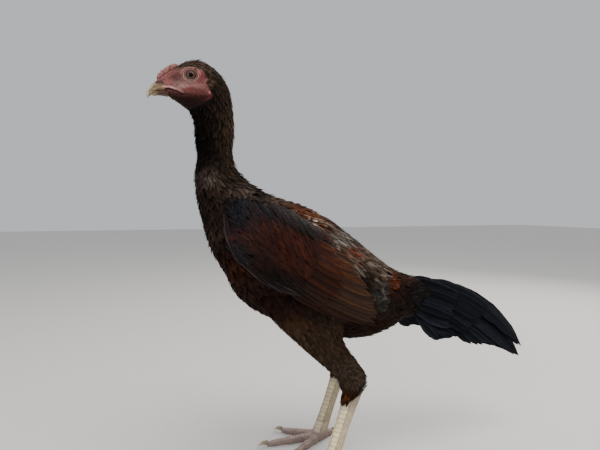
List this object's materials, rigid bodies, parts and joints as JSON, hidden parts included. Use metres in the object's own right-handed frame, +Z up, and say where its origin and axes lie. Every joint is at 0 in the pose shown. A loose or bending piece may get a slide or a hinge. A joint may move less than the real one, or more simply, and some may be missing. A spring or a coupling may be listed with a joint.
{
  "type": "game chicken",
  "caption": "Tall upright game chicken, mahogany brown and black with a bare red face, standing still on pale scaly legs",
  "frame": {"origin": "on the floor, under the middle of the bird's box from bill tip to tail tip", "axes": "-X is where the bird faces, +X its tail, -Y its left side, +Z up"},
  "size_m": [0.5414, 0.1796, 0.504],
  "materials": {
    "body_feathers": "tight dark rust-brown feathers, matt",
    "neck_feathers": "short blackish brown feathers, matt",
    "wing_feathers": "mahogany flight feathers and coverts, soft sheen",
    "tail_feathers": "black tail feathers with a blue sheen",
    "thigh_feathers": "dark brown leg feathers, matt",
    "face_skin": "bare red wrinkled skin",
    "comb_skin": "red pebbled skin of comb and ear lobes",
    "bill_horn": "olive horn, smooth",
    "eye": "wet pale brown eye",
    "leg_scales": "pale cream scales",
    "claw_horn": "whitish horn, smooth"
  },
  "bodies": {
    "root": {"head": "face_skin", "neck": "neck_feathers", "torso": "body_feathers", "tail": "tail_feathers", "comb": "comb_skin", "bill_upper": "bill_horn", "bill_lower": "bill_horn", "eye_left": "eye", "ear_lobe_left": "comb_skin", "wing_left": "wing_feathers", "thigh_left": "thigh_feathers", "shank_left": "leg_scales", "inner_toe_left": "leg_scales", "inner_toe_claw_left": "claw_horn", "middle_toe_left": "leg_scales", "middle_toe_claw_left": "claw_horn", "outer_toe_left": "leg_scales", "outer_toe_claw_left": "claw_horn", "hind_toe_left": "leg_scales", "hind_toe_claw_left": "claw_horn", "eye_right": "eye", "ear_lobe_right": "comb_skin", "wing_right": "wing_feathers", "thigh_right": "thigh_feathers", "shank_right": "leg_scales", "inner_toe_right": "leg_scales", "inner_toe_claw_right": "claw_horn", "middle_toe_right": "leg_scales", "middle_toe_claw_right": "claw_horn", "outer_toe_right": "leg_scales", "outer_toe_claw_right": "claw_horn", "hind_toe_right": "leg_scales", "hind_toe_claw_right": "claw_horn"}
  },
  "joints": []
}
